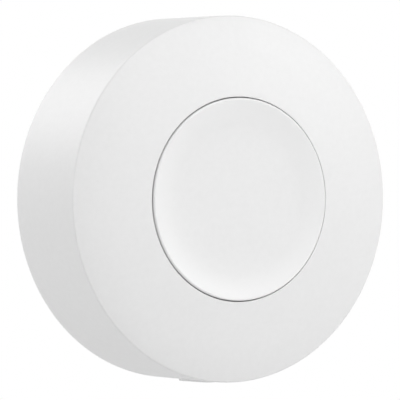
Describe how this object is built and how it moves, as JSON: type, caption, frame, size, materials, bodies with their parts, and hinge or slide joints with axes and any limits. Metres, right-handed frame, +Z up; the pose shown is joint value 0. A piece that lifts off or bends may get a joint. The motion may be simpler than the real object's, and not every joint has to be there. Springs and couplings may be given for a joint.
{
  "type": "wireless wall switch",
  "caption": "Round wall switch with one large dished push button in a domed housing that holds by magnets to a flat wall plate",
  "frame": {"origin": "centre of the adhesive pad's back face, on the wall", "axes": "+Y into the wall, so the face looks towards -Y; +Z up; +X to the right seen from the front"},
  "size_m": [0.042, 0.0157, 0.0421],
  "materials": {
    "housing_white": "satin moulded white plastic",
    "button_white": "satin moulded white plastic",
    "frame_white": "fine moulded texture",
    "door_white": "fine moulded texture",
    "plate_white": "fine moulded texture",
    "plated_steel": "plated steel",
    "magnet_nickel": "nickel plated",
    "cell_steel": "nickel plated, fine circular brushing",
    "cell_gasket": "moulded",
    "cell_filling": "pressed powder and foil",
    "adhesive_foam": "closed-cell foam tape",
    "silicone": "matt translucent silicone",
    "board_green": "solder mask over glass laminate",
    "gold_copper": "gold over copper",
    "black_moulding": "fine matt moulding",
    "plunger_moulding": "smooth moulding",
    "capacitor_tan": "fired ceramic",
    "capacitor_yellow": "moulded resin",
    "light_lens": "clear resin"
  },
  "bodies": {
    "wall_mount": {"wall_plate": "plate_white", "steel_ring": "plated_steel", "adhesive_pad": "adhesive_foam"},
    "switch_body": {"front_housing": "housing_white", "back_frame": "frame_white", "holding_magnets": "magnet_nickel", "chassis_screws": "plated_steel", "circuit_board": "board_green", "return_ring": "silicone", "coin_cell_can": "cell_steel", "coin_cell_cap": "cell_steel", "coin_cell_gasket": "cell_gasket", "coin_cell_core": "cell_filling", "negative_contact": "plated_steel", "positive_contact": "plated_steel", "tact_base": "black_moulding", "tact_cover": "plated_steel", "tact_dome": "plated_steel", "tact_leads": "gold_copper", "radio_chip": "black_moulding", "crystal": "plated_steel", "storage_capacitor": "capacitor_yellow", "chip_capacitors": "capacitor_tan", "chip_resistors": "black_moulding", "status_light": "light_lens", "board_aerial": "gold_copper", "test_pads": "gold_copper"},
    "battery_door": {"battery_door": "door_white", "battery_pad": "adhesive_foam"},
    "button": {"button_cap": "button_white"},
    "plunger": {"tact_plunger": "plunger_moulding"}
  },
  "joints": [
    {"name": "pull_off", "type": "slide", "parent": "wall_mount", "child": "switch_body", "axis": [0, -1, 0], "range_m": [0, 0.02]},
    {"name": "door_twist", "type": "hinge", "parent": "switch_body", "child": "battery_door", "pos_m": [0, 0, 0], "axis": [0, 1, 0], "range_deg": [0, 40]},
    {"name": "button_press", "type": "slide", "parent": "switch_body", "child": "button", "axis": [0, 1, 0], "range_m": [0, 0.0003], "stiffness_N_per_m": 4000, "springref_m": -0.0001, "deforming": ["return_ring", "tact_dome"]},
    {"name": "plunger_travel", "type": "slide", "parent": "switch_body", "child": "plunger", "axis": [0, 1, 0], "range_m": [0, 0.0003]}
  ],
  "couplings": [
    {"joint": "plunger_travel", "follows": "button_press", "ratio": 1}
  ]
}
